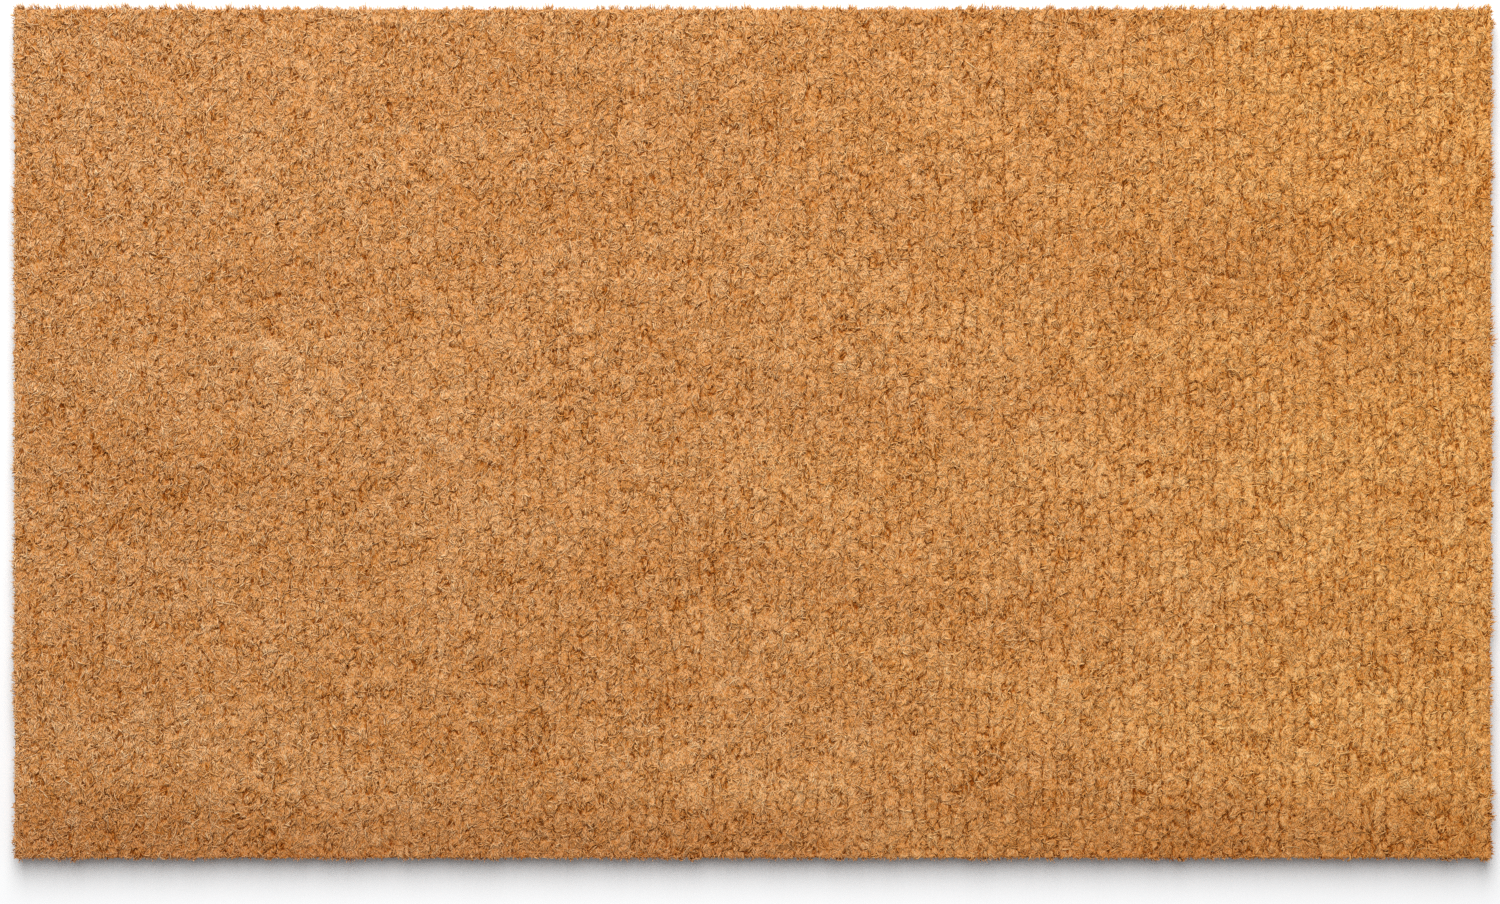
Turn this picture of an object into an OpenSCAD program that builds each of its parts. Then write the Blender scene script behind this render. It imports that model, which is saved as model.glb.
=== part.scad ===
// Vinyl-backed coir door mat.
// A flat vinyl sheet holds rows of upright coir tufts by their feet. The rows run across the
// mat, along Y, and the pile is sheared level. The mat lies on z = 0 with its pile upwards,
// +X is along its length, and the origin is the middle of its underside.

/* [Mat] */
// Length of the mat, along X
mat_length = 762; // [600:1:780]
// Width of the mat, along Y
mat_width = 439; // [300:1:600]
// Height from the floor to the sheared top of the pile
mat_thickness = 15; // [12:0.5:20]

/* [Vinyl backing] */
// Thickness of the vinyl sheet
backing_thickness = 3; // [2:0.5:4]
// Radius of the sheet's cut corners
backing_corner_r = 3; // [1:0.5:4]

/* [Coir pile] */
// Distance from one row of tufts to the next
row_pitch = 6.8; // [6.7:0.1:8]
// Gap between the crowns of neighbouring rows, and half of it round the pile's outside
row_gap = 0.4; // [0.2:0.1:1]
// Depth of the tufts' feet in the vinyl
foot_depth = 1.2; // [0.5:0.1:1.5]
// How far the tufts spread on each side between foot and crown
tuft_spread = 1; // [0.4:0.1:1.5]
// Radius of the crown's edges
crown_r = 2; // [1:0.1:2.5]
// Share of the pile's height over which the tufts spread
spread_share = 0.5; // [0.3:0.05:0.7]

/* [Hidden] */
$fn = 48;
ROWS_PER_NODE = 2;
COIR_COLOUR = [0.765, 0.527, 0.306];
VINYL_COLOUR = [0.16, 0.17, 0.15];

row_count = floor(mat_length / row_pitch);
row_group_count = ceil(row_count / ROWS_PER_NODE);
row_step = mat_length / row_count;

foot_z = backing_thickness - foot_depth;
spread_z = backing_thickness + spread_share * (mat_thickness - backing_thickness);
crown_half_x = (row_step - row_gap) / 2;
crown_half_y = (mat_width - row_gap) / 2;

// Node name of a group of rows, with two digits so that the names sort in order
function row_group_name(group) = str("tuft_rows_", group < 10 ? "0" : "", group);

// Middle of a row, counted from 0 at the -X end
function row_x(row) = (row + 0.5) * row_step - mat_length / 2;

// Outline of the pile seen from one side, with height as Y: narrow at the foot, wider up to
// the spread height, then upright to a rounded crown
module pile_outline(crown_half) {
    foot_half = crown_half - tuft_spread;
    crown_z = mat_thickness - crown_r;
    polygon([
        [-foot_half, foot_z],
        [foot_half, foot_z],
        [crown_half, spread_z],
        [crown_half, crown_z],
        [-crown_half, crown_z],
        [-crown_half, spread_z]
    ]);
    translate([-crown_half + crown_r, spread_z])
        square([2 * (crown_half - crown_r), mat_thickness - spread_z]);
    for (side = [-1, 1])
        translate([side * (crown_half - crown_r), crown_z])
            circle(r = crown_r);
}

// One row of tufts, as a solid over its outer shape, centred on x = 0
module tuft_row() {
    intersection() {
        rotate([90, 0, 0])
            linear_extrude(height = mat_width, center = true)
                pile_outline(crown_half_x);
        rotate([90, 0, 90])
            linear_extrude(height = 2 * row_step, center = true)
                pile_outline(crown_half_y);
    }
}

// Flat sheet with rounded corners, from z = 0 to its thickness
module vinyl_sheet() {
    corner_x = mat_length / 2 - backing_corner_r;
    corner_y = mat_width / 2 - backing_corner_r;
    linear_extrude(height = backing_thickness) {
        square([mat_length, 2 * corner_y], center = true);
        square([2 * corner_x, mat_width], center = true);
        for (side_x = [-1, 1])
            for (side_y = [-1, 1])
                translate([side_x * corner_x, side_y * corner_y])
                    circle(r = backing_corner_r);
    }
}

// The vinyl sheet, which has set round the foot of every row
module vinyl_backing() {
    color(VINYL_COLOUR)
        difference() {
            vinyl_sheet();
            for (row = [0:row_count - 1])
                translate([row_x(row), 0, 0])
                    tuft_row();
        }
}

// Neighbouring rows of tufts, each a separate solid
module tuft_rows(group) {
    first_row = (group - 1) * ROWS_PER_NODE;
    last_row = min(first_row + ROWS_PER_NODE, row_count) - 1;
    color(COIR_COLOUR)
        for (row = [first_row:last_row])
            translate([row_x(row), 0, 0])
                tuft_row();
}

vinyl_backing();
for (group = [1:row_group_count])
    tuft_rows(group);
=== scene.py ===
"""A vinyl-backed coir door mat: rows of coir tufts, set upright in a flat vinyl sheet.

The pile is made in strips of neighbouring rows. Each row has a lumpy body, which is the tight
inside of its tufts, and over it lie the separate ends of the fibres, each a closed and tapered
tube. The tufts round the outside also have their whole fibres, from the vinyl to the tip.
Lengths in the constants are in millimetres unless a comment says otherwise, and MM turns them
to metres.
"""

import math

import bpy
import numpy as np
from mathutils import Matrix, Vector


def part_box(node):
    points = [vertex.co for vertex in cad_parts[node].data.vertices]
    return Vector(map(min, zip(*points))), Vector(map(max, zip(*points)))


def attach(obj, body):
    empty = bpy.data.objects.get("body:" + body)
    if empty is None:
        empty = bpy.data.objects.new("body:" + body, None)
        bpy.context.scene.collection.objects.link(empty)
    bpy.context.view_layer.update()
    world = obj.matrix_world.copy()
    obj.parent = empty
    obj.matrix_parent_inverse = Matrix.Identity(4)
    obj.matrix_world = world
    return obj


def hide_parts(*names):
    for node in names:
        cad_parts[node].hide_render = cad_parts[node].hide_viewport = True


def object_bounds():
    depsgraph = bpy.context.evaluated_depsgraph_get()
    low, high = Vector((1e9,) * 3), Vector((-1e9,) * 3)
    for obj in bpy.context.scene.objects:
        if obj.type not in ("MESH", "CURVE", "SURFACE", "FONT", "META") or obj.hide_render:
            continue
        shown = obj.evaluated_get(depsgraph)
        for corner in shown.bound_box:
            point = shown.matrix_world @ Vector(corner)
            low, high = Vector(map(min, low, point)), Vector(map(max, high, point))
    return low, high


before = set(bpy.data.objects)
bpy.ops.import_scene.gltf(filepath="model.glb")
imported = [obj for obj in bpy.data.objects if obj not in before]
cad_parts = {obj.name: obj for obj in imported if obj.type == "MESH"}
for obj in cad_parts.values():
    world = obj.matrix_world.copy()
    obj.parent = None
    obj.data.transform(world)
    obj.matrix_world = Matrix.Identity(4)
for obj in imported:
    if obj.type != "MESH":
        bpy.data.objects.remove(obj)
cad_low, cad_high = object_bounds()

MM = 0.001
SEED = 11

# Pile
ROWS_PER_NODE = 2  # in the CAD model
NODES_PER_STRIP = 2  # but one in the first strip and in the last
TUFT_PITCH = 6.0  # along a row
TUFT_SCATTER = (0.85, 0.8)  # of a tuft from its place, along X and along Y
TUFT_TONE_SPREAD = 0.035
TUFT_LOWER = 0.35  # the lowest tufts, below the highest
SPARE_ROWS = 1  # of tufts, past each end of the mat
SPARE_TUFTS = 3  # past each end of a row
STICKS_PER_TUFT = 34
BENDS_PER_TUFT = 8
STRAYS_PER_TUFT = 0.45
FRINGE_PER_TUFT = 34  # on the tufts round the outside
MATTED_TONES = (0.02, 0.05)  # where the pile is matted: how much paler its fibres are, and spread
MATTED_BODY = (0.12, 0.3)  # and how much darker its body is, and how much deeper it lies
MATTED_SHUT = 0.3  # and how far its partings are shut
MATTED_MIDDLE = 0.45  # how matted the pile is in the middle of the mat
MATTED_CHANGE = 0.5  # from there to the ends, more to -X and less to +X

# Clouds of noise: how strong they are, how large their lumps are, and a seed
LATTICE_SIZE = 640
WIDE_MEANDER = (0.9, 45, 1)
FINE_MEANDER = (0.6, 12, 2)
LARGE_LUMPS = (0.25, 4.5, 4)
SMALL_LUMPS = (0.2, 1.9, 5)
LOW_WAVES = (0.12, 20, 6)
TUFT_CLOUDS = (0.022, 30, 7)  # of their tones
LOCKS = (1.0, 2.2, 8)
BORDER_CLOUDS = (1.0, 5, 9)
LOCK_CLOUDS = (1.0, 4, 10)
MATTING = (0.25, 110, 13)
FRINGE_WANDER = (0.9, 18, 14)
EDGE_WANDER = (0.25, 14, 15)  # of the vinyl's cut edge from a straight line

# Crowns of the tufts, and the partings between them
CROWN_DROP = 1.1  # from a tuft's middle to its rim
CROWN_RIM = 2.4  # width of a tuft's sloping rim
TOP_DROP = 0.3  # of the highest crowns from the sheared top, apart from their lumps
IN_ROW_SHARE = 0.25  # depth of a parting between tufts of one row, against one between rows
IN_ROW_SHUT = 0.8  # how far a parting between tufts of one row is shut
LOCK_STRETCH = 0.45  # of the locks, so that they are longer along Y
LOCK_STEP = 0.25  # over which their slope is measured
PARTING_REACH = 0.5  # how far from a parting its slopes start
PARTING_DEPTH = 1.3  # for the fibres' tips
PARTING_PAINTED_SHADE = 0.35  # painted shade: how much darker the pile's colour is in a parting
PARTING_BARE = 0.6  # share of the fibres left out in the middle of a parting
PARTING_PULL = 3.0  # how strongly a parting turns the fibres along itself
PULL_REACH = 1.6  # from how far
BORDERS_SHUT = (1.2, 0.1)  # how far clouds shut the partings between tufts, and a shift of them
LOCKS_SHUT = (1.8, 0.15)  # the same for the partings between locks
FLATTEST = 0.05  # slope of the locks' noise that counts as flat

# Bodies of the rows
BODY_STEP = 1.05  # between the sections of a row's body, along the row
BODY_DROP = 1.0  # how far a row's body stays below the crowns
BODY_HALF = 4.3  # half width, more than half the rows' step, so that bodies close up
BODY_INSET = 0.8  # from the outside of the pile
BODY_POINTS = 10  # across the crown of a section
BODY_CROWN = 0.92  # half width of the crown, as a share of BODY_HALF
BODY_FOOT = 0.6  # half width of the foot, as a share of BODY_HALF
BODY_SHOULDER = 1.2  # height of the crown over the section's widest points
BODY_BURIED = 0.3  # height of its foot over the pile's own foot
BODY_JITTER = 0.2  # along X
BODY_REACH = 0.8  # how far from a parting the body starts to sink
BODY_PARTING = 2.2  # how far it sinks
BODY_TONE = 0.48
BODY_MAP_SHARE = 0.36  # of the bake's map, for the rows' bodies

# Fibre ends. Every pair of tones is their middle and spread
FIBRE_RADIUS = 0.30
FIBRE_SPREAD = 0.25  # of the fibres' radii, in their logarithm
FIBRE_INSET = 0.9  # from the outside of the pile
ROW_SPREAD = 0.52  # from a row's middle, as a share of the row's step
HEADING_SPREAD = 0.8  # of a fibre's heading from its tuft's, in radians
HEADING_ACROSS = 0.5  # so that more of the headings are along Y
WAY_SPREAD = 0.4  # of the directions, which are unit vectors before it is added
STICK_RUN = (1.4, 3.6)  # seen from above
STICK_ROOTS = (0.3, 1.3)  # below the top of the body
STICK_TIPS = (-0.2, 0.9)  # below the crown
STICK_TAPER = (1.0, 0.7)
STICK_TONES = (0.55, 0.095)
BEND_RUN = (2.0, 4.6)
BEND_CURL = 0.16  # to the side, as a share of the run
BEND_ROOT = 1.2  # below the top of the body
BEND_TOPS = (0.0, 0.9)  # below the crown
BEND_TIPS = (-0.5, 0.8)
BEND_TAPER = (0.9, 1.0, 0.62)
BEND_TONES = (0.58, 0.10)
STRAY_RUN = (3.5, 9.0)
STRAY_SPREAD = 0.8  # of the heading from the Y axis, in radians
STRAY_TURN = 0.12  # spread of the curving, in radians a millimetre
STRAY_ARC = (-2.2, -0.25, 0.1, 0.2, 0.15, -0.1)  # height over the crown, from root to tip
STRAY_LIFT = (-0.3, 0.6)
STRAY_SINK = 0.6  # how much of the crown's own drop a stray follows
STRAY_PAST = 1.2  # how far it may reach past the outside of the pile
STRAY_RADIUS = 0.17
STRAY_RADII = 0.2  # their spread, in their logarithm
STRAY_TIP = 0.6  # radius of the tip, as a share
STRAY_TONES = (0.75, 0.1)

# Fringe: the whole fibres of the tufts round the outside
FRINGE_OUT = 0.6  # of a tuft from its own place
FRINGE_LEAN = 0.45  # spread of the tufts' lean
FRINGE_BULGE = 0.75  # how round a tuft is, seen from above
FOOT_OUT = 1.5  # reach of a tuft's foot from its middle
FOOT_DEPTH = 0.8  # how far inside that its inner fibres stand
FOOT_SIDE = 1.7  # half the width of its foot
FOOT_BURIED = 0.5  # height of the fibres' ends over the pile's own foot
CROWN_OUT = 2.9  # reach of its crown
CROWN_DEPTH = 2.4  # how far inside that its inner fibres reach
KNEE_OUT = 0.92  # reach of the fibres' knees, as a share of the crown's
KNEE_SIDE = 2.9  # half the tuft's width there
KNEE_LEAN = 0.7  # share of the tuft's lean
KNEE_SPREAD = 0.25
KNEE_HEIGHT = (9.5, 12.0)
SHIN_SHARE = 0.45  # where the second ring stands between the knee and the foot
SHIN_SPREAD = 0.12
SHIN_HEIGHT = (5.5, 7.5)
TIP_OUT = (1.5, 0.24)  # how far tips stick out of the crown, as a gamma's shape and scale
TIP_SIDE = 3.3  # half the tuft's width there
TIP_SPREAD = 0.45
TIP_DROP = (1.5, 0.5)  # below the sheared top, as a gamma's shape and scale
TIP_INNER = 0.5  # how much higher the inner fibres' tips are
PILE_LEAN = np.array([0.1, 0.6])  # of the tips round the outside, towards +X and +Y
FRINGE_RADIUS = 0.24
FRINGE_RADII = 0.22  # their spread, in their logarithm
FRINGE_TAPER = (0.9, 1.0, 1.0, 0.6)
FRINGE_TONES = (0.69, 0.1)
EDGE_PAINTED_LIGHT = np.array([-0.085, 0.085])  # painted light added round the outside: paler at -X and +Y, the sides that face the light
EDGE_TONE_SPREAD = 0.03

# Vinyl sheet
CORNER_POINTS = 8  # in each rounded corner
CORNER_RADIUS = 3.0
EDGE_STEP = 4.0  # between points along the cut edge
SHEET_PROFILE = (  # distance in from the outline, and share of the thickness, from the underside up
    (3.0, 0.0),
    (0.35, 0.0),
    (0.1, 0.04),
    (0.0, 0.14),
    (0.0, 0.8),
    (0.12, 0.95),
    (0.45, 1.0),
    (3.0, 1.0),
)

# Colours over a factor from 0 to 1, and textures, whose scales are per metre
NOISE_SPAN = (0.3, 0.7)  # where most of a noise's values lie
COIR_COLOURS = (  # over a fibre's tone
    (0.0, (0.31, 0.050, 0.0005)),
    (0.25, (0.52, 0.165, 0.012)),
    (0.5, (0.68, 0.326, 0.096)),
    (0.7, (0.77, 0.445, 0.198)),
    (1.0, (0.86, 0.640, 0.350)),
)
BODY_TINT = ((0.0, (1.0, 0.98, 0.88)), (1.0, (0.92, 0.96, 1.0)))  # for fibres, and for bodies
DEEP_PAINTED_SHADE = ((0.0, (0.78, 0.58, 0.30)), (1.0, (1.0, 1.0, 1.0)))  # painted shade: darker and browner down in the pile, and none at its top
DEEP_SHADE_SPAN = (9, 14)  # heights for the painted shade
COOL_PAINTED_LIGHT = ((0.0, (0.99, 1.04, 1.24)), (0.5, (0.98, 1.0, 1.10)), (1.0, (1.02, 1.01, 0.88)))  # painted light: cooler and paler towards -X; from -X
FRONT_PAINTED_SHADE = ((0.0, (0.86, 0.77, 0.70)), (0.55, (0.90, 0.84, 0.79)), (1.0, (1.0, 1.0, 1.0)))  # painted shade: darker and redder towards the front edge; from -Y
FRONT_SHADE_BAND = 42.0  # width of the painted shade along the front edge, at -Y
STREAK_SCALES = (2200, 2200, 160)
STREAK_TONES = (-0.13, 0.13)
CLOUD_SCALE = 12.0
CLOUD_SHAPE = (0.4, 1.5, 0)
CLOUD_TONES = (-0.052, 0.052)
CLOUD_WANDER = (-0.15, 0.15)  # of the painted cool light and of the painted shade along the front
PATCH_SCALE = 480.0
PATCH_TURN = (-1.1, 1.1)  # radians
LYING_SCALES = (2600, 380, 380)
LYING_SPAN = (0.35, 0.65)
LYING_TONES = (-0.2, 0.3)
COIR_ROUGHNESS = (0.55, 0.8)
COIR_SPECULAR = 0.04
COIR_RELIEF = 0.35
VINYL_COLOURS = ((0.3, (0.016, 0.018, 0.014)), (0.7, (0.034, 0.037, 0.030)))
VINYL_ROUGHNESS = (0.42, 0.62)
MOTTLE_SCALE = 60.0
EMBOSS_SCALE = 900.0
EMBOSS_RELIEF = 0.15
FLOOR_COLOURS = ((0.0, (0.79, 0.79, 0.79)), (1.0, (0.81, 0.81, 0.81)))

# Stage, with its lengths in metres
FLOOR_HALF = 4.0
FLOOR_DROP = 0.0002  # below the mat's underside
WORLD_STRENGTH = 0.34
SOFTBOX_SIZE = (1.4, 2.6)
SOFTBOX_PLACE = (-0.1, 1.4, 2.1)
SOFTBOX_POWER = 96.0
SOFTBOX_COLOUR = (0.98, 0.99, 1.0)

# Photograph
SUBJECT_SHARE = 0.987  # of the picture's width that the mat takes
MAT_OFFSET = Vector((1.4 * MM, 9.5 * MM, 0))  # the mat's middle from the picture's, in metres
LENS = 85.0
SENSOR = 36.0
CLIP = (0.05, 20.0)  # metres


# ---------------------------------------------------------------- camera


def add_camera():
    """Looks straight down, with the mat as large in the picture as the photograph has it."""
    data = bpy.data.cameras.new("camera")
    data.lens = LENS
    data.sensor_width = SENSOR
    camera = bpy.data.objects.new("camera", data)
    bpy.context.scene.collection.objects.link(camera)
    width = (cad_high.x - cad_low.x) / SUBJECT_SHARE
    middle = (cad_low + cad_high) / 2 - MAT_OFFSET
    camera.location = (middle.x, middle.y, cad_high.z + width * LENS / SENSOR)
    data.clip_start, data.clip_end = CLIP
    bpy.context.scene.camera = camera


# ---------------------------------------------------------------- materials


class Nodes:
    """Short calls for building one material's node tree."""

    def __init__(self, name):
        self.material = bpy.data.materials.new(name)
        self.material.use_nodes = True
        self.tree = self.material.node_tree
        self.shader = self.tree.nodes["Principled BSDF"]

    def add(self, kind, **settings):
        node = self.tree.nodes.new(kind)
        for key, value in settings.items():
            setattr(node, key, value)
        return node

    def link(self, output, target):
        self.tree.links.new(output, target)

    def noise(self, vector, scale, detail=3.0, roughness=0.55):
        node = self.add("ShaderNodeTexNoise")
        node.inputs["Scale"].default_value = scale
        node.inputs["Detail"].default_value = detail
        node.inputs["Roughness"].default_value = roughness
        self.link(vector, node.inputs["Vector"])
        return node.outputs["Fac"]

    def stretched(self, vector, scale):
        node = self.add("ShaderNodeMapping")
        node.inputs["Scale"].default_value = scale
        self.link(vector, node.inputs["Vector"])
        return node.outputs["Vector"]

    def ramp(self, factor, stops):
        node = self.add("ShaderNodeValToRGB")
        elements = node.color_ramp.elements
        while len(elements) < len(stops):
            elements.new(0.5)
        for element, (position, colour) in zip(elements, stops):
            element.position = position
            element.color = (*colour, 1.0)
        self.link(factor, node.inputs["Fac"])
        return node.outputs["Color"]

    def remap(self, value, span, to=(0.0, 1.0)):
        node = self.add("ShaderNodeMapRange")
        for name, number in zip(("From Min", "From Max", "To Min", "To Max"), (*span, *to)):
            node.inputs[name].default_value = number
        self.link(value, node.inputs["Value"])
        return node.outputs["Result"]

    def maths(self, operation, first, second):
        node = self.add("ShaderNodeMath", operation=operation)
        for socket, value in zip(node.inputs, (first, second)):
            if isinstance(value, (int, float)):
                socket.default_value = value
            else:
                self.link(value, socket)
        return node.outputs["Value"]

    def scaled(self, colour, value):
        node = self.add("ShaderNodeMix", data_type="RGBA", blend_type="MULTIPLY")
        node.inputs["Factor"].default_value = 1.0
        self.link(colour, node.inputs["A"])
        self.link(value, node.inputs["B"])
        return node.outputs["Result"]

    def bump(self, height, distance, strength=1.0):
        node = self.add("ShaderNodeBump")
        node.inputs["Strength"].default_value = strength
        node.inputs["Distance"].default_value = distance
        self.link(height, node.inputs["Height"])
        return node.outputs["Normal"]


def lying_fibres(n, place):
    """Streaks for the bodies, as of short fibres that lie another way in each small patch."""
    patches = n.add("ShaderNodeTexVoronoi")
    patches.inputs["Scale"].default_value = PATCH_SCALE
    n.link(place, patches.inputs["Vector"])
    turned = n.add("ShaderNodeVectorRotate", rotation_type="Z_AXIS")
    n.link(place, turned.inputs["Vector"])
    n.link(n.remap(patches.outputs["Color"], (0.0, 1.0), PATCH_TURN), turned.inputs["Angle"])
    return n.noise(n.stretched(turned.outputs["Vector"], LYING_SCALES), 1.0, detail=1.0)


def painted_light_and_shade(n, colour, place, clouds):
    """The colour with painted shade, browner down in the pile and darker along -Y, and painted light,
    cooler and paler to -X.
    """
    axes = n.add("ShaderNodeSeparateXYZ")
    n.link(place, axes.inputs[0])
    # painted shade: darker and browner down in the pile
    depth = n.remap(axes.outputs["Z"], (DEEP_SHADE_SPAN[0] * MM, DEEP_SHADE_SPAN[1] * MM))
    colour = n.scaled(colour, n.ramp(depth, DEEP_PAINTED_SHADE))
    wander = n.remap(clouds, NOISE_SPAN, CLOUD_WANDER)
    # painted light: cooler and paler towards -X
    along = n.maths("ADD", n.remap(axes.outputs["X"], (cad_low.x, cad_high.x)), wander)
    colour = n.scaled(colour, n.ramp(along, COOL_PAINTED_LIGHT))
    # painted shade: darker along the front edge, at -Y
    front = n.remap(axes.outputs["Y"], (cad_low.y, cad_low.y + FRONT_SHADE_BAND * MM))
    return n.scaled(colour, n.ramp(n.maths("ADD", front, wander), FRONT_PAINTED_SHADE))


def coir_material():
    """Dry coconut fibre: each fibre has its own tone, in streaks, with clouds over the mat."""
    n = Nodes("coir")
    place = n.add("ShaderNodeTexCoord").outputs["Object"]
    tone = n.add("ShaderNodeAttribute", attribute_name="tone").outputs["Fac"]
    body = n.add("ShaderNodeAttribute", attribute_name="body").outputs["Fac"]
    lying = lying_fibres(n, place)
    streaks = n.noise(n.stretched(place, STREAK_SCALES), 1.0, detail=2.0)
    clouds = n.noise(n.stretched(place, CLOUD_SHAPE), CLOUD_SCALE, detail=4.0)
    mixed = n.maths("ADD", tone, n.remap(streaks, NOISE_SPAN, STREAK_TONES))
    mixed = n.maths("ADD", mixed, n.remap(clouds, NOISE_SPAN, CLOUD_TONES))
    fibrous = n.maths("MULTIPLY", body, n.remap(lying, LYING_SPAN, LYING_TONES))
    mixed = n.maths("ADD", mixed, fibrous)
    colour = n.scaled(n.ramp(mixed, COIR_COLOURS), n.ramp(body, BODY_TINT))
    n.link(painted_light_and_shade(n, colour, place, clouds), n.shader.inputs["Base Color"])
    n.link(n.remap(streaks, NOISE_SPAN, COIR_ROUGHNESS), n.shader.inputs["Roughness"])
    n.shader.inputs["Specular IOR Level"].default_value = COIR_SPECULAR
    relief = n.maths("ADD", n.maths("MULTIPLY", body, lying), n.maths("MULTIPLY", streaks, 0.2))
    n.link(n.bump(relief, COIR_RELIEF * MM, 0.8), n.shader.inputs["Normal"])
    return n.material


def vinyl_material():
    """Dark flexible vinyl with a fine leather-like emboss and a faint mottle."""
    n = Nodes("vinyl")
    place = n.add("ShaderNodeTexCoord").outputs["Object"]
    mottle = n.noise(place, MOTTLE_SCALE, detail=4.0)
    grain = n.add("ShaderNodeTexVoronoi", feature="SMOOTH_F1")
    grain.inputs["Scale"].default_value = EMBOSS_SCALE
    n.link(place, grain.inputs["Vector"])
    emboss = grain.outputs["Distance"]
    n.link(n.ramp(mottle, VINYL_COLOURS), n.shader.inputs["Base Color"])
    n.link(n.remap(emboss, (0.0, 0.8), VINYL_ROUGHNESS), n.shader.inputs["Roughness"])
    n.link(n.bump(emboss, EMBOSS_RELIEF * MM, 0.5), n.shader.inputs["Normal"])
    return n.material


def floor_material():
    """Plain pale studio floor, with the slightest unevenness."""
    n = Nodes("floor")
    place = n.add("ShaderNodeTexCoord").outputs["Object"]
    uneven = n.noise(place, 3.0, detail=2.0)
    n.link(n.ramp(uneven, FLOOR_COLOURS), n.shader.inputs["Base Color"])
    n.shader.inputs["Roughness"].default_value = 0.9
    n.shader.inputs["Specular IOR Level"].default_value = 0.1
    return n.material


# ---------------------------------------------------------------- meshes


def new_object(name, mesh, material):
    obj = bpy.data.objects.new(name, mesh)
    mesh.materials.append(material)
    bpy.context.scene.collection.objects.link(obj)
    return obj


def mesh_of(name, points, polygons):
    """A smooth mesh. polygons is a list of arrays of corner indices, one row a polygon."""
    mesh = bpy.data.meshes.new(name)
    corners = np.concatenate([p.ravel() for p in polygons])
    sizes = np.concatenate([np.full(len(p), p.shape[1]) for p in polygons])
    starts = np.concatenate([[0], np.cumsum(sizes)[:-1]])
    mesh.vertices.add(len(points))
    mesh.vertices.foreach_set("co", points.astype(np.float32).ravel())
    mesh.loops.add(len(corners))
    mesh.loops.foreach_set("vertex_index", corners.astype(np.int32))
    mesh.polygons.add(len(sizes))
    mesh.polygons.foreach_set("loop_start", starts.astype(np.int32))
    mesh.polygons.foreach_set("use_smooth", np.ones(len(sizes), bool))
    mesh.update(calc_edges=True)
    return mesh


def unit(vectors):
    return vectors / np.maximum(np.linalg.norm(vectors, axis=-1, keepdims=True), 1e-12)


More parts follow.
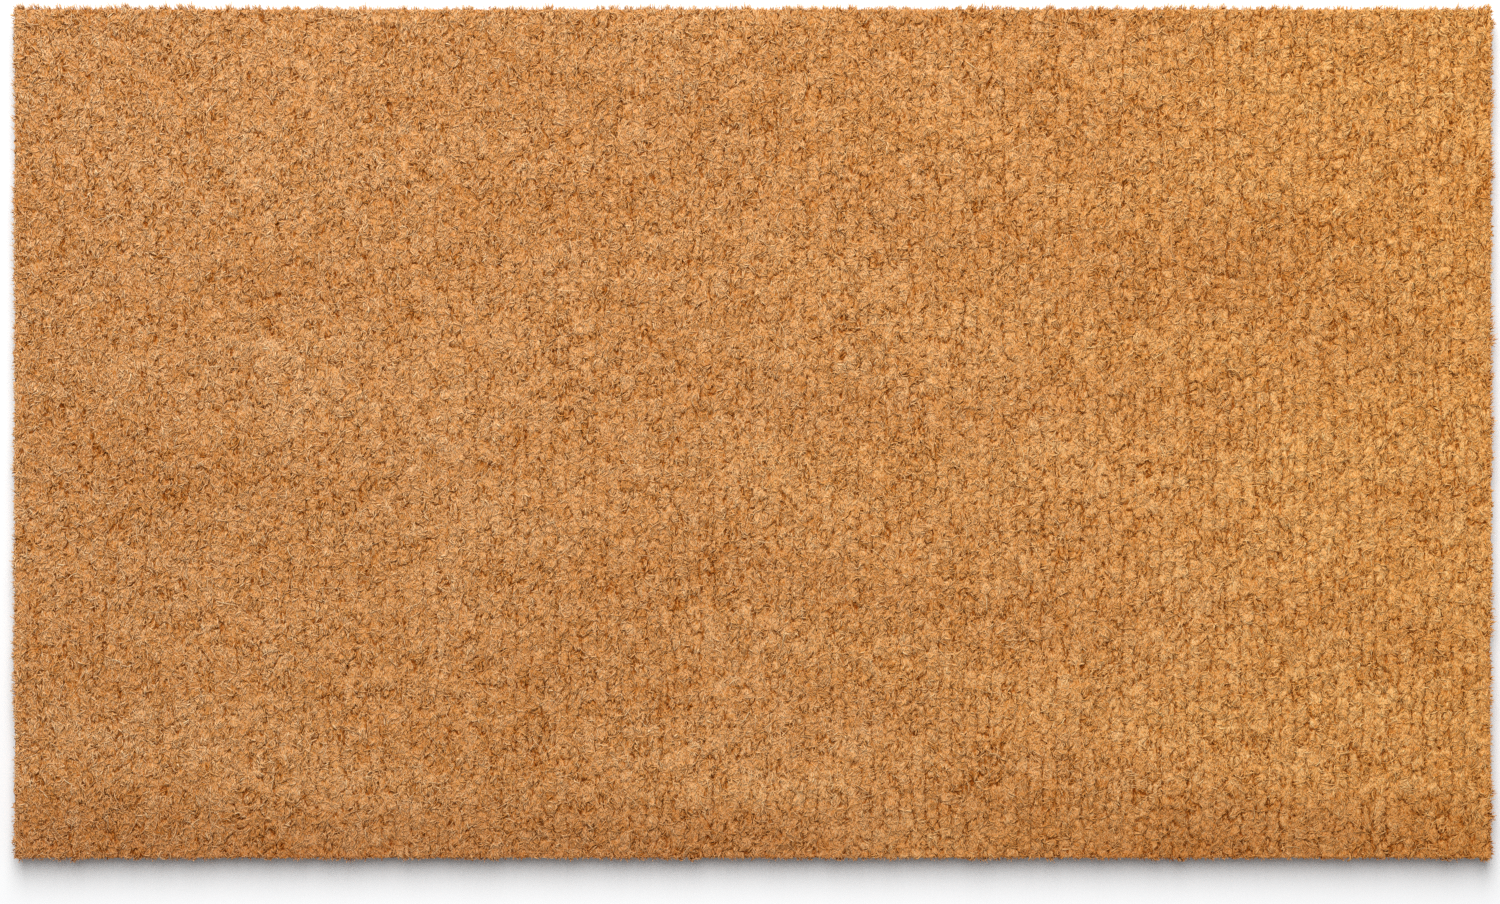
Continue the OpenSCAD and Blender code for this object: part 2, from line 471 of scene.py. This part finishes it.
class Strands:
    """Closed tubes gathered for one mesh, each with a tone and its own part of the bake's map.
    Lengths are in millimetres."""

    def __init__(self):
        self.points = []
        self.polygons = []
        self.tones = []
        self.bodies = []
        self.groups = []
        self.count = 0

    def add_rings(self, rings, tones, body=0.0):
        """rings is (tubes, rings, sides, 3), each ring turning right-handed about its tube.
        tones fits (tubes, rings, sides)."""
        shape = rings.shape[:3]
        index = self.count + np.arange(np.prod(shape)).reshape(shape)
        turned = np.roll(index, -1, axis=2)
        quads = np.stack([index[:, :-1], turned[:, :-1], turned[:, 1:], index[:, 1:]], axis=-1)
        self.polygons += [quads.reshape(-1, 4), index[:, 0, ::-1], index[:, -1]]
        self.points.append(rings.reshape(-1, 3))
        self.tones.append(np.broadcast_to(tones, shape).ravel())
        self.bodies.append(np.full(index.size, body))
        self.groups.append((shape, body > 0, rings[:, 0, 0, 1]))
        self.count += index.size

    def add_tubes(self, lines, radii, tones, sides=3):
        """lines is (tubes, rings, 3) and radii fits (tubes, rings)."""
        run = lines[:, -1, :2] - lines[:, 0, :2]
        across = np.stack([-run[:, 1] + 1e-6, run[:, 0], np.zeros(len(run))], axis=1)
        along = unit(np.gradient(lines, axis=1))
        across = unit(across)[:, None, :]
        first = unit(across - (across * along).sum(-1, keepdims=True) * along)
        second = np.cross(along, first)
        angles = 2 * np.pi * np.arange(sides) / sides
        ring = first[:, :, None] * np.cos(angles)[:, None]
        ring = ring + second[:, :, None] * np.sin(angles)[:, None]
        radii = np.broadcast_to(radii, lines.shape[:2])
        self.add_rings(lines[:, :, None] + ring * radii[..., None, None], tones[:, None, None])

    def cells(self):
        """For each group of tubes, the corner and the size of every tube's part of the map. The
        bodies lie in bands along it, and above them the fibres have a grid of small cells, in
        the order of their places along Y."""
        bands = sum(shape[0] for shape, is_body, _ in self.groups if is_body)
        places = np.concatenate([y for _, is_body, y in self.groups if not is_body])
        down = round(math.sqrt(len(places) * (1 - BODY_MAP_SHARE)))
        across = math.ceil(len(places) / down)
        rank = np.empty(len(places))
        rank[np.argsort(places)] = np.arange(len(places))
        band = cell = 0
        for shape, is_body, _ in self.groups:
            if is_body:
                size = np.array([1, BODY_MAP_SHARE / bands])
                heights = (band + np.arange(shape[0])) * size[1]
                yield np.stack([np.zeros(shape[0]), heights], axis=-1), size
                band += shape[0]
            else:
                size = np.array([1 / across, (1 - BODY_MAP_SHARE) / down])
                own = rank[cell:cell + shape[0]]
                grid = np.stack([own % across, own // across], axis=-1)
                yield grid * size + (0, BODY_MAP_SHARE), size
                cell += shape[0]

    def map_corners(self):
        """The place in the map of every polygon corner, in the order of the polygons."""
        found = []
        for ((_, rings, sides), _, _), (corner, size) in zip(self.groups, self.cells()):
            ring = np.arange(rings) / (rings - 1)
            side = np.arange(sides + 1) / sides
            u = np.stack([ring[:-1], ring[:-1], ring[1:], ring[1:]], axis=-1)[:, None]
            v = np.stack([side[:-1], side[1:], side[1:], side[:-1]], axis=-1)[None]
            wall = np.stack(np.broadcast_arrays(u, v), axis=-1).reshape(-1, 2)
            start = np.stack([np.zeros(sides), side[-2::-1]], axis=-1)
            end = np.stack([np.ones(sides), side[:-1]], axis=-1)
            found += [(corner[:, None] + size * local).reshape(-1, 2) for local in (wall, start, end)]
        return np.concatenate(found)

    def mesh(self, name):
        mesh = mesh_of(name, np.concatenate(self.points) * MM, self.polygons)
        bake_map = mesh.uv_layers.new(name="OFBake")
        bake_map.uv.foreach_set("vector", self.map_corners().astype(np.float32).ravel())
        for attribute, values in (("tone", self.tones), ("body", self.bodies)):
            layer = mesh.attributes.new(attribute, "FLOAT", "POINT")
            layer.data.foreach_set("value", np.concatenate(values).astype(np.float32))
        return mesh


# ---------------------------------------------------------------- noise


LATTICES = {}


def cloud(x, y, strength, size, seed):
    """Smooth noise over the mat, up to strength above and below 0, with lumps of about size
    millimetres. Each seed's lattice of numbers is turned by its own angle."""
    if seed not in LATTICES:
        rng = np.random.default_rng([SEED, seed])
        LATTICES[seed] = rng.uniform(-1, 1, (LATTICE_SIZE, LATTICE_SIZE))
    lattice = LATTICES[seed]
    turn = 0.4 + 0.7 * seed
    u = (x * math.cos(turn) - y * math.sin(turn)) / size + LATTICE_SIZE / 2
    v = (x * math.sin(turn) + y * math.cos(turn)) / size + LATTICE_SIZE / 2
    i, j = np.floor(u).astype(int), np.floor(v).astype(int)
    fu, fv = u - i, v - j
    fu, fv = fu * fu * (3 - 2 * fu), fv * fv * (3 - 2 * fv)
    low = lattice[i, j] * (1 - fu) + lattice[i + 1, j] * fu
    high = lattice[i, j + 1] * (1 - fu) + lattice[i + 1, j + 1] * fu
    return strength * (low * (1 - fv) + high * fv)


# ---------------------------------------------------------------- vinyl sheet


def sheet_outline(low, high):
    """Points round a rectangle with rounded corners, with the way out at each."""
    points = []
    outs = []
    for quarter, (x, y) in enumerate(((1, 1), (-1, 1), (-1, -1), (1, -1))):
        middle = np.array([high[0] if x > 0 else low[0], high[1] if y > 0 else low[1]])
        middle = middle - CORNER_RADIUS * np.array([x, y])
        angles = np.pi / 2 * (quarter + np.linspace(0, 1, CORNER_POINTS))
        out = np.stack([np.cos(angles), np.sin(angles)], axis=-1)
        points.append(middle + CORNER_RADIUS * out)
        outs.append(out)
    edge_points = []
    edge_outs = []
    for corner, out, after in zip(points, outs, points[1:] + points[:1]):
        steps = max(round(np.linalg.norm(after[0] - corner[-1]) / EDGE_STEP), 2)
        share = np.arange(1, steps)[:, None] / steps
        edge_points += [corner, corner[-1] + (after[0] - corner[-1]) * share]
        edge_outs += [out, np.repeat(out[-1:], steps - 1, axis=0)]
    return np.concatenate(edge_points), np.concatenate(edge_outs)


def add_sheet(material):
    """The flat vinyl sheet, cut to size with a soft arris and a slightly uneven edge."""
    low, high = (np.array(corner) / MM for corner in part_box("vinyl_backing"))
    outline, out = sheet_outline(low[:2] + EDGE_WANDER[0], high[:2] - EDGE_WANDER[0])
    outline = outline + cloud(outline[:, 0], outline[:, 1], *EDGE_WANDER)[:, None] * out
    rings = []
    for inset, height in SHEET_PROFILE:
        level = np.full((len(outline), 1), low[2] + height * (high[2] - low[2]))
        rings.append(np.hstack([outline - inset * out, level]))
    index = np.arange(len(rings) * len(outline)).reshape(len(rings), -1)
    turned = np.roll(index, -1, axis=1)
    walls = np.stack([index[:-1], turned[:-1], turned[1:], index[1:]], axis=-1).reshape(-1, 4)
    mesh = mesh_of("vinyl_sheet", np.concatenate(rings) * MM, [walls, index[:1, ::-1], index[-1:]])
    sheet = new_object("vinyl_sheet", mesh, material)
    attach(sheet, "root")
    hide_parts("vinyl_backing")
    return sheet


# ---------------------------------------------------------------- pile


def meander(row, y):
    """How far a row's crown has wandered along X from the row's own place."""
    return cloud(row, y, *WIDE_MEANDER) + cloud(row, y, *FINE_MEANDER)


def lock_partings(x, y):
    """How far the nearest parting between locks of fibre is, and the unit vectors along it."""
    lock = cloud(x, LOCK_STRETCH * y, *LOCKS)
    slope_x = (cloud(x + LOCK_STEP, LOCK_STRETCH * y, *LOCKS) - lock) / LOCK_STEP
    slope_y = (cloud(x, LOCK_STRETCH * (y + LOCK_STEP), *LOCKS) - lock) / LOCK_STEP
    away = np.abs(lock) / (np.hypot(slope_x, slope_y) + FLATTEST)
    away = away + LOCKS_SHUT[0] * np.maximum(cloud(x, y, *LOCK_CLOUDS) + LOCKS_SHUT[1], 0)
    return away, unit(np.stack([-slope_y, slope_x], axis=-1))


class Pile:
    """The rows and tufts of the pile, in millimetres, on the frame's own rows."""

    def __init__(self):
        self.nodes = sorted(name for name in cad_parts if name.startswith("tuft_rows_"))
        boxes = [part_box(name) for name in self.nodes]
        middles = np.array([(low.x + high.x) / 2 / MM for low, high in boxes])
        self.step = (middles[1] - middles[0]) / ROWS_PER_NODE
        shifts = (np.arange(ROWS_PER_NODE) - (ROWS_PER_NODE - 1) / 2) * self.step
        self.rows = (middles[:, None] + shifts).ravel()
        low, high = boxes[0]
        self.foot_z = low.z / MM
        self.top_z = high.z / MM
        self.end_y = high.y / MM
        self.end_x = -low.x / MM
        self.per_row = round(2 * self.end_y / TUFT_PITCH)
        self.pitch = 2 * self.end_y / self.per_row
        self.plant()

    def plant(self):
        """Places each tuft's crown, with spare tufts past the ends so that every one has
        neighbours, and gives it a heading, a tone and a height."""
        rng = np.random.default_rng(SEED)
        shape = len(self.rows) + 2 * SPARE_ROWS, self.per_row + 2 * SPARE_TUFTS
        row = self.rows[0] + (np.arange(shape[0]) - SPARE_ROWS) * self.step
        self.phase = rng.uniform(-0.5, 0.5, shape[0]) * self.pitch
        self.first = SPARE_TUFTS - 0.5  # the -Y end of the pile, counted in tufts
        y = (np.arange(shape[1]) - self.first) * self.pitch - self.end_y + self.phase[:, None]
        self.x = row[:, None] + meander(row[:, None], y) + rng.normal(0, TUFT_SCATTER[0], shape)
        self.y = y + rng.normal(0, TUFT_SCATTER[1], shape)
        self.heading = rng.uniform(0, 2 * np.pi, shape)
        self.tone = rng.normal(0, TUFT_TONE_SPREAD, shape)
        self.tone = self.tone + cloud(0.5 * self.x, self.y, *TUFT_CLOUDS)
        self.low = rng.uniform(0, TUFT_LOWER, shape)

    def nearest(self, x, y):
        """For each place: its tuft (two indices), how far the next tuft's border is, and the
        unit vectors along that border."""
        row = np.round((x - self.rows[0]) / self.step).astype(int) + SPARE_ROWS
        row = np.clip(row, SPARE_ROWS, len(self.rows) - 1 + SPARE_ROWS)
        best = np.full(x.shape, 1e9)
        second = np.full(x.shape, 1e9)
        found = [np.zeros(x.shape, int) for _ in range(4)]
        for i in (row - 1, row, row + 1):
            k0 = np.round((y + self.end_y - self.phase[i]) / self.pitch + self.first).astype(int)
            for k in (k0 - 1, k0, k0 + 1):
                k = np.clip(k, 0, self.x.shape[1] - 1)
                away = np.hypot(x - self.x[i, k], y - self.y[i, k])
                closer = away < best
                next_closer = ~closer & (away < second)
                second = np.where(closer, best, np.where(next_closer, away, second))
                for at, value in ((2, i), (3, k)):
                    other = np.where(next_closer, value, found[at])
                    found[at] = np.where(closer, found[at - 2], other)
                best = np.where(closer, away, best)
                found[0] = np.where(closer, i, found[0])
                found[1] = np.where(closer, k, found[1])
        one, two = tuple(found[:2]), tuple(found[2:])
        apart = np.stack([self.x[two] - self.x[one], self.y[two] - self.y[one]], axis=-1)
        border = unit(np.stack([-apart[..., 1], apart[..., 0]], axis=-1))
        return one, (second - best) / 2, border

    def crown(self, x, y):
        """For each place: its tuft, how far the crown lies below the sheared top, the distance
        to a parting, and the unit vectors along the parting."""
        tuft, rim, border = self.nearest(x, y)
        between_rows = IN_ROW_SHARE + (1 - IN_ROW_SHARE) * np.abs(border[..., 1]) ** 1.5
        shut = BORDERS_SHUT[0] * np.maximum(cloud(x, y, *BORDER_CLOUDS) + BORDERS_SHUT[1], 0)
        shut = shut + IN_ROW_SHUT * (1 - between_rows)
        lumps = cloud(x, y, *LARGE_LUMPS) + cloud(x, y, *SMALL_LUMPS)
        lumps = lumps + cloud(0.5 * x, y, *LOW_WAVES)
        dome = CROWN_DROP * between_rows * np.clip(1 - rim / CROWN_RIM, 0, 1) ** 2
        inner, inner_way = lock_partings(x, y)
        outer = rim + shut + MATTED_SHUT * self.matting(x, y)
        along = np.where((inner < outer)[..., None], inner_way, border)
        return tuft, self.low[tuft] + dome + lumps + TOP_DROP, np.minimum(inner, outer), along

    def matting(self, x, y):
        """How loose the fibre ends lie, from 1 where the tufts hardly show, mostly to -X, to 0."""
        across = MATTED_MIDDLE - MATTED_CHANGE * x / self.end_x
        return np.clip(across + cloud(x, y, *MATTING), 0, 1)

    def strips(self):
        """For each strip of the pile, the names of its nodes and the numbers of their rows."""
        starts = [0, *range(1, len(self.nodes), NODES_PER_STRIP), len(self.nodes)]
        for first, last in zip(starts, starts[1:]):
            yield self.nodes[first:last], np.arange(first * ROWS_PER_NODE, last * ROWS_PER_NODE)

    def scatter(self, rows, per_tuft, rng):
        """Fibres over some rows, fewer of them in partings: their places, how far below the
        sheared top the pile is there, the changes of tone with painted shade in partings, and the
        unit vectors they lie along."""
        n = round(len(rows) * self.per_row * per_tuft)
        row = self.rows[rng.choice(rows, n)]
        y = rng.uniform(-self.end_y + FIBRE_INSET, self.end_y - FIBRE_INSET, n)
        x = row + meander(row, y) + rng.uniform(-ROW_SPREAD, ROW_SPREAD, n) * self.step
        x = np.clip(x, -self.end_x + FIBRE_INSET, self.end_x - FIBRE_INSET)
        tuft, down, distance, along = self.crown(x, y)
        near = np.clip(1 - distance / PARTING_REACH, 0, 1)
        keep = rng.uniform(0, 1, n) > PARTING_BARE * near
        tuft = tuft[0][keep], tuft[1][keep]
        x, y, down, near, distance, along = (v[keep] for v in (x, y, down, near, distance, along))
        angle = self.heading[tuft] + rng.normal(0, HEADING_SPREAD, len(x))
        own = np.stack([HEADING_ACROSS * np.cos(angle), np.sin(angle)], axis=1)
        along = along * np.sign((along * own).sum(1, keepdims=True) + 1e-9)
        pull = PARTING_PULL * np.clip(PULL_REACH - distance, 0, 1)[:, None]
        way = unit(own + pull * along + rng.normal(0, WAY_SPREAD, own.shape))
        loose = self.matting(x, y) * rng.normal(*MATTED_TONES, len(x))
        # painted shade: the fibres' colour is darker in a parting
        shade = self.tone[tuft] - PARTING_PAINTED_SHADE * near + loose
        return np.stack([x, y], axis=1), down + PARTING_DEPTH * near, shade, way


def add_bodies(strands, pile, rows, rng):
    """The tight inside of each row, below its fibre ends: narrow at the foot, wide at the crown."""
    end = pile.end_y - BODY_INSET
    y = np.linspace(-end, end, round(2 * end / BODY_STEP))
    crown = np.linspace(-BODY_CROWN, BODY_CROWN, BODY_POINTS)
    share = np.concatenate([crown, [1.0, BODY_FOOT, -BODY_FOOT, -1.0]])
    right, right_foot, left_foot, left = range(BODY_POINTS, BODY_POINTS + 4)
    row = pile.rows[rows][:, None, None]
    points = np.empty((len(rows), len(y), len(share), 3))
    points[..., 1] = y[:, None]
    points[..., 0] = row + meander(row, y[:, None]) + BODY_HALF * share
    points[..., 0] += rng.uniform(-BODY_JITTER, BODY_JITTER, points.shape[:3])
    tuft, down, distance, _ = pile.crown(points[..., 0], points[..., 1])
    near = np.clip(1 - distance / BODY_REACH, 0, 1)
    matting = pile.matting(points[..., 0], points[..., 1])
    sunk = BODY_PARTING * near
    points[..., 2] = pile.top_z - BODY_DROP - down - sunk - MATTED_BODY[1] * matting
    points[..., [right, left], 2] -= BODY_SHOULDER
    points[..., [right_foot, left_foot], 0] = row + BODY_HALF * share[[right_foot, left_foot]]
    points[..., [right_foot, left_foot], 2] = pile.foot_z + BODY_BURIED
    limit = pile.end_x - BODY_INSET
    points[..., 0] = np.clip(points[..., 0], -limit, limit)
    # painted shade: the body's colour is darker in a parting
    tones = BODY_TONE + pile.tone[tuft] - PARTING_PAINTED_SHADE * near
    strands.add_rings(points, tones - MATTED_BODY[0] * matting, body=1.0)


def fibre_radii(radius, spread, taper, count, rng):
    return (radius * np.exp(rng.normal(0, spread, count)))[:, None] * np.array(taper)


def fibre_tones(shade, tones, rng):
    return np.clip(shade + rng.normal(*tones, len(shade)), 0.02, 0.98)


def add_sticks(strands, pile, rows, rng):
    """Straight fibre ends that slope up out of the body."""
    place, down, shade, way = pile.scatter(rows, STICKS_PER_TUFT, rng)
    n = len(place)
    run = rng.uniform(*STICK_RUN, n)
    lines = np.empty((n, 2, 3))
    lines[:, 0, :2] = place - 0.5 * run[:, None] * way
    lines[:, 1, :2] = place + 0.5 * run[:, None] * way
    lines[:, 0, 2] = pile.top_z - BODY_DROP - down - rng.uniform(*STICK_ROOTS, n)
    lines[:, 1, 2] = pile.top_z - down - rng.uniform(*STICK_TIPS, n)
    radii = fibre_radii(FIBRE_RADIUS, FIBRE_SPREAD, STICK_TAPER, n, rng)
    strands.add_tubes(lines, radii, fibre_tones(shade, STICK_TONES, rng))


def add_bends(strands, pile, rows, rng):
    """Fibre ends that come up out of the body and bend over at the top."""
    place, down, shade, way = pile.scatter(rows, BENDS_PER_TUFT, rng)
    n = len(place)
    run = rng.uniform(*BEND_RUN, n)
    side = np.stack([-way[:, 1], way[:, 0]], axis=1)
    curl = rng.normal(0, BEND_CURL, n) * run
    lines = np.empty((n, 3, 3))
    lines[:, 0, :2] = place - 0.5 * run[:, None] * way
    lines[:, 1, :2] = place - 0.15 * run[:, None] * way + curl[:, None] * side
    lines[:, 2, :2] = place + 0.5 * run[:, None] * way
    lines[:, 0, 2] = pile.top_z - BODY_DROP - down - BEND_ROOT
    lines[:, 1, 2] = pile.top_z - down - rng.uniform(*BEND_TOPS, n)
    lines[:, 2, 2] = pile.top_z - down - rng.uniform(*BEND_TIPS, n)
    radii = fibre_radii(FIBRE_RADIUS, FIBRE_SPREAD, BEND_TAPER, n, rng)
    strands.add_tubes(lines, radii, fibre_tones(shade, BEND_TONES, rng))


def add_strays(strands, pile, rows, rng):
    """Long blond fibres that lie curved over the pile."""
    place, down, shade, _ = pile.scatter(rows, STRAYS_PER_TUFT, rng)
    rings = len(STRAY_ARC)
    n = len(place)
    heading = rng.normal(np.pi / 2, STRAY_SPREAD, n) + np.pi * rng.integers(0, 2, n)
    turn = rng.normal(0, STRAY_TURN, n)
    length = rng.uniform(*STRAY_RUN, n)
    bend = heading[:, None] + turn[:, None] * length[:, None] * np.linspace(-0.5, 0.5, rings)
    step = (length / (rings - 1))[:, None]
    lines = np.empty((n, rings, 3))
    lines[..., 0] = np.cumsum(np.cos(bend) * step, axis=1)
    lines[..., 1] = np.cumsum(np.sin(bend) * step, axis=1)
    lines[..., :2] += (place - lines[:, :, :2].mean(axis=1))[:, None]
    lift = rng.uniform(*STRAY_LIFT, (n, 1))
    lines[..., 2] = pile.top_z - STRAY_SINK * down[:, None] + np.array(STRAY_ARC) + lift
    limit = np.array([pile.end_x, pile.end_y]) + STRAY_PAST
    lines[:, :, :2] = np.clip(lines[:, :, :2], -limit, limit)
    taper = np.linspace(1, STRAY_TIP, rings)
    radii = fibre_radii(STRAY_RADIUS, STRAY_RADII, taper, n, rng)
    strands.add_tubes(lines, radii, fibre_tones(shade, STRAY_TONES, rng))


def outer_tufts(pile, rows):
    """The middles of some rows' tufts round the outside, and the unit vectors out from them."""
    middles = []
    outs = []
    for outer, facing in ((0, -1), (len(pile.rows) - 1, 1)):
        if outer in rows:
            y = (np.arange(pile.per_row) + 0.5) * pile.pitch - pile.end_y
            middles.append(np.stack([np.full(pile.per_row, pile.rows[outer]), y], axis=1))
            outs.append(np.tile([facing, 0], (pile.per_row, 1)))
    for facing in (-1, 1):
        y = facing * (pile.end_y - pile.pitch / 2)
        middles.append(np.stack([pile.rows[rows], np.full(len(rows), y)], axis=1))
        outs.append(np.tile([0, facing], (len(rows), 1)))
    return np.concatenate(middles), np.concatenate(outs).astype(float)


def add_fringe(strands, pile, rows, rng):
    """Whole fibres on the tufts round the outside, from the vinyl to the tip."""
    tufts, outs = outer_tufts(pile, rows)
    middle, out = (np.repeat(values, FRINGE_PER_TUFT, axis=0) for values in (tufts, outs))
    n = len(middle)
    side = np.stack([-out[:, 1], out[:, 0]], axis=1)
    lean = np.repeat(rng.normal(0, FRINGE_LEAN, tufts.shape), FRINGE_PER_TUFT, axis=0)
    wander = cloud(middle[:, 0], middle[:, 1], *FRINGE_WANDER) + FRINGE_OUT
    middle = middle + out * wander[:, None]
    across = rng.uniform(-1, 1, n)
    depth = rng.uniform(0, 1, n)
    bulge = np.sqrt(1 - FRINGE_BULGE * across**2)
    reach = CROWN_OUT * bulge - CROWN_DEPTH * depth
    foot_reach = FOOT_OUT * bulge - FOOT_DEPTH * depth
    foot = middle + out * foot_reach[:, None] + side * (FOOT_SIDE * across)[:, None]
    knee = middle + out * (KNEE_OUT * reach)[:, None] + side * (KNEE_SIDE * across)[:, None]
    knee = knee + KNEE_LEAN * lean
    knee += rng.normal(0, KNEE_SPREAD, (n, 2))
    tip_reach = reach + rng.gamma(*TIP_OUT, n)
    tip = middle + out * tip_reach[:, None] + side * (TIP_SIDE * across)[:, None]
    tip += lean + rng.normal(0, TIP_SPREAD, (n, 2)) + PILE_LEAN
    shin = SHIN_SHARE * foot + (1 - SHIN_SHARE) * knee + rng.normal(0, SHIN_SPREAD, (n, 2))
    lines = np.empty((n, 4, 3))
    for ring, places in enumerate((foot, shin, knee, tip)):
        lines[:, ring, :2] = places
    lines[:, 0, 2] = pile.foot_z + FOOT_BURIED
    lines[:, 1, 2] = rng.uniform(*SHIN_HEIGHT, n)
    lines[:, 2, 2] = rng.uniform(*KNEE_HEIGHT, n)
    lines[:, 3, 2] = pile.top_z - rng.gamma(*TIP_DROP, n) - TIP_INNER * (1 - depth)
    radii = fibre_radii(FRINGE_RADIUS, FRINGE_RADII, FRINGE_TAPER, n, rng)
    # painted light: the fringe is paler on the sides that face the light
    shade = out @ EDGE_PAINTED_LIGHT + rng.normal(0, EDGE_TONE_SPREAD, n)
    strands.add_tubes(lines, radii, fibre_tones(shade, FRINGE_TONES, rng))


def add_pile(material):
    pile = Pile()
    pieces = []
    for number, (nodes, rows) in enumerate(pile.strips(), start=1):
        rng = np.random.default_rng([SEED, number])
        strands = Strands()
        add_bodies(strands, pile, rows, rng)
        add_sticks(strands, pile, rows, rng)
        add_bends(strands, pile, rows, rng)
        add_strays(strands, pile, rows, rng)
        add_fringe(strands, pile, rows, rng)
        name = f"coir_pile_{number:02d}"
        piece = new_object(name, strands.mesh(name), material)
        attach(piece, "root")
        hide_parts(*nodes)
        pieces.append(piece)
    return pieces


# ---------------------------------------------------------------- stage


def add_floor():
    mesh = bpy.data.meshes.new("floor")
    turns = ((-1, -1), (1, -1), (1, 1), (-1, 1))
    corners = [(x * FLOOR_HALF, y * FLOOR_HALF, 0) for x, y in turns]
    mesh.from_pydata(corners, [], [(0, 1, 2, 3)])
    floor = new_object("floor", mesh, floor_material())
    floor.location.z = -FLOOR_DROP


def add_softbox():
    """One long soft light behind the mat, which looks at the middle of the floor."""
    data = bpy.data.lights.new("softbox", "AREA")
    data.shape = "RECTANGLE"
    data.size, data.size_y = SOFTBOX_SIZE
    data.energy = SOFTBOX_POWER
    data.color = SOFTBOX_COLOUR
    light = bpy.data.objects.new("softbox", data)
    bpy.context.scene.collection.objects.link(light)
    light.location = SOFTBOX_PLACE
    light.rotation_mode = "QUATERNION"
    light.rotation_quaternion = (-Vector(SOFTBOX_PLACE)).to_track_quat("-Z", "Y")


def light_scene():
    """The softbox and a weak white world. Denoising is off because it smears the fibres."""
    scene = bpy.context.scene
    scene.world = bpy.data.worlds.new("studio")
    scene.world.use_nodes = True
    background = scene.world.node_tree.nodes["Background"]
    background.inputs["Color"].default_value = (1, 1, 1, 1)
    background.inputs["Strength"].default_value = WORLD_STRENGTH
    add_softbox()
    scene.view_settings.view_transform = "Standard"
    scene.cycles.use_denoising = False


add_camera()
sheet = add_sheet(vinyl_material())
pieces = add_pile(coir_material())
add_floor()
light_scene()
